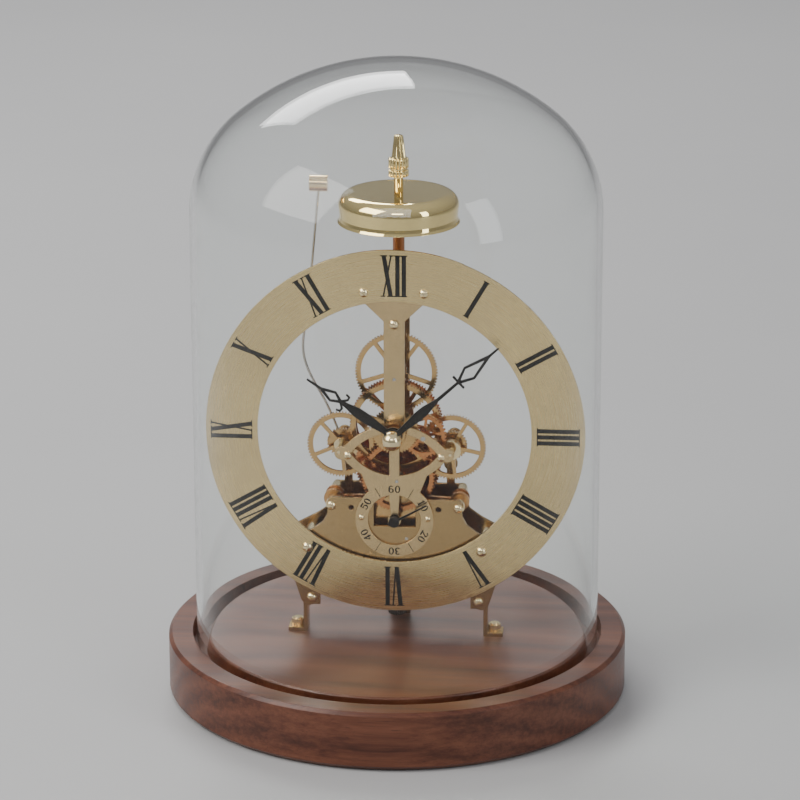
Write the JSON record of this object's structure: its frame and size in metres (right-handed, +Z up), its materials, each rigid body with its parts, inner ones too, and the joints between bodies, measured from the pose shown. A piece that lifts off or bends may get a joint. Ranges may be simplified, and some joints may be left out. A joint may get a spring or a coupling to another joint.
{
  "type": "skeleton clock",
  "caption": "Skeleton clock with a brushed chapter ring, open spoked train, passing-strike bell and hammer, under a lift-off glass dome on a round walnut base.",
  "frame": {"origin": "centre of the base's underside, on the table", "axes": "+Z up, the dial faces -Y, +X to the right of someone who faces the dial"},
  "size_m": [0.228, 0.228, 0.3184],
  "materials": {
    "walnut": "satin oiled walnut",
    "felt": "black felt",
    "dome_glass": "clear blown glass",
    "dial_gold": "champagne gilt, circular satin brush",
    "black_paint": "gloss black enamel",
    "screw_gold": "polished pale gilt",
    "plate_gold": "satin gilt",
    "mid_brass": "satin brass",
    "knob_black": "dark bronze",
    "copper_post": "reddish polished brass",
    "bell_gold": "mirror-polished gilt",
    "steel": "bright steel",
    "hammer_gold": "polished gilt",
    "wheel_brass": "satin gilt brass",
    "copper_brass": "reddish brass",
    "blue_steel": "blued steel"
  },
  "bodies": {
    "clock_frame": {"base": "walnut", "base_pad": "felt", "chapter_ring": "dial_gold", "hour_numerals": "black_paint", "dial_screws": "screw_gold", "front_bridge": "plate_gold", "seconds_markings": "black_paint", "front_plate": "plate_gold", "train_plate": "mid_brass", "barrel_bridge": "mid_brass", "back_plate": "plate_gold", "pillars": "screw_gold", "plate_screws": "screw_gold", "legs": "plate_gold", "leg_screws": "screw_gold", "foot_bolts": "screw_gold", "levelling_knob": "knob_black", "bell_post": "copper_post", "bell": "bell_gold", "bell_finial": "bell_gold", "hammer_stud": "steel", "motion_stud": "steel"},
    "dome": {"glass_dome": "dome_glass"},
    "hammer": {"hammer": "hammer_gold", "hammer_wire": "steel"},
    "centre": {"centre_arbor": "steel", "front_centre_wheel": "wheel_brass", "rear_centre_wheel": "copper_brass", "strike_cam": "bell_gold", "minute_hand": "black_paint", "hand_nut": "screw_gold"},
    "hour": {"hour_pipe": "wheel_brass", "hour_wheel": "wheel_brass", "hour_hand": "black_paint"},
    "motion": {"minute_wheel": "copper_brass"},
    "upper": {"upper_arbor": "steel", "upper_wheel": "wheel_brass"},
    "left": {"left_arbor": "screw_gold", "left_wheel": "wheel_brass"},
    "right": {"right_arbor": "screw_gold", "right_wheel": "wheel_brass"},
    "third": {"third_arbor": "steel", "third_wheel": "copper_brass"},
    "seconds": {"seconds_arbor": "steel", "seconds_wheel": "wheel_brass", "seconds_hand": "black_paint"},
    "barrel": {"barrel": "bell_gold", "great_wheel": "copper_brass"},
    "winding": {"winding_arbor": "steel", "ratchet_wheel": "steel"},
    "click": {"click": "steel"},
    "escape": {"escape_arbor": "steel", "escape_wheel": "wheel_brass"},
    "lever": {"lever": "steel"},
    "balance": {"balance_wheel": "wheel_brass", "hairspring": "blue_steel"}
  },
  "joints": [
    {"name": "dome_lift", "type": "slide", "parent": "clock_frame", "child": "dome", "axis": [0, 0, 1], "range_m": [0, 0.31]},
    {"name": "centre_turn", "type": "hinge", "parent": "clock_frame", "child": "centre", "pos_m": [0, -0.004, 0.137], "axis": [0, 1, 0], "continuous": true},
    {"name": "hour_turn", "type": "hinge", "parent": "clock_frame", "child": "hour", "pos_m": [0, -0.004, 0.137], "axis": [0, 1, 0], "continuous": true},
    {"name": "motion_turn", "type": "hinge", "parent": "clock_frame", "child": "motion", "pos_m": [0.01409, -0.004, 0.13401], "axis": [0, 1, 0], "continuous": true},
    {"name": "upper_turn", "type": "hinge", "parent": "clock_frame", "child": "upper", "pos_m": [0, -0.004, 0.164], "axis": [0, 1, 0], "continuous": true},
    {"name": "left_turn", "type": "hinge", "parent": "clock_frame", "child": "left", "pos_m": [-0.02735, -0.004, 0.12595], "axis": [0, 1, 0], "continuous": true},
    {"name": "right_turn", "type": "hinge", "parent": "clock_frame", "child": "right", "pos_m": [0.02735, -0.004, 0.12595], "axis": [0, 1, 0], "continuous": true},
    {"name": "third_turn", "type": "hinge", "parent": "clock_frame", "child": "third", "pos_m": [0.00116, -0.004, 0.11153], "axis": [0, 1, 0], "continuous": true},
    {"name": "seconds_turn", "type": "hinge", "parent": "clock_frame", "child": "seconds", "pos_m": [0, -0.004, 0.0914], "axis": [0, 1, 0], "continuous": true},
    {"name": "escape_turn", "type": "hinge", "parent": "clock_frame", "child": "escape", "pos_m": [0.00583, -0.004, 0.0813], "axis": [0, 1, 0], "continuous": true},
    {"name": "barrel_turn", "type": "hinge", "parent": "clock_frame", "child": "barrel", "pos_m": [0, 0.01, 0.113], "axis": [0, 1, 0], "continuous": true},
    {"name": "winding_turn", "type": "hinge", "parent": "clock_frame", "child": "winding", "pos_m": [0, 0.016, 0.113], "axis": [0, 1, 0], "continuous": true},
    {"name": "click_swing", "type": "hinge", "parent": "clock_frame", "child": "click", "pos_m": [-0.012, 0.019, 0.096], "axis": [0, 1, 0], "range_deg": [-12, 0], "stiffness_Nm_per_rad": 0.01},
    {"name": "hammer_swing", "type": "hinge", "parent": "clock_frame", "child": "hammer", "pos_m": [-0.0256, 0.021, 0.111], "axis": [0, 1, 0], "range_deg": [-2, 2.6], "stiffness_Nm_per_rad": 0.2},
    {"name": "lever_rock", "type": "hinge", "parent": "clock_frame", "child": "lever", "pos_m": [-0.00092, -0.007, 0.0774], "axis": [0, 1, 0], "range_deg": [-4, 4]},
    {"name": "balance_swing", "type": "hinge", "parent": "clock_frame", "child": "balance", "pos_m": [-0.0122, -0.005, 0.07329], "axis": [0, 1, 0], "range_deg": [-220, 220], "stiffness_Nm_per_rad": 0.0001}
  ],
  "couplings": [
    {"joint": "hour_turn", "follows": "centre_turn", "ratio": 0.083333},
    {"joint": "motion_turn", "follows": "centre_turn", "ratio": -0.33333},
    {"joint": "upper_turn", "follows": "centre_turn", "ratio": -5},
    {"joint": "left_turn", "follows": "centre_turn", "ratio": -3.2143},
    {"joint": "right_turn", "follows": "centre_turn", "ratio": -3.2143},
    {"joint": "third_turn", "follows": "centre_turn", "ratio": -7.5},
    {"joint": "seconds_turn", "follows": "centre_turn", "ratio": 60},
    {"joint": "escape_turn", "follows": "centre_turn", "ratio": -360},
    {"joint": "barrel_turn", "follows": "centre_turn", "ratio": -0.14286}
  ]
}
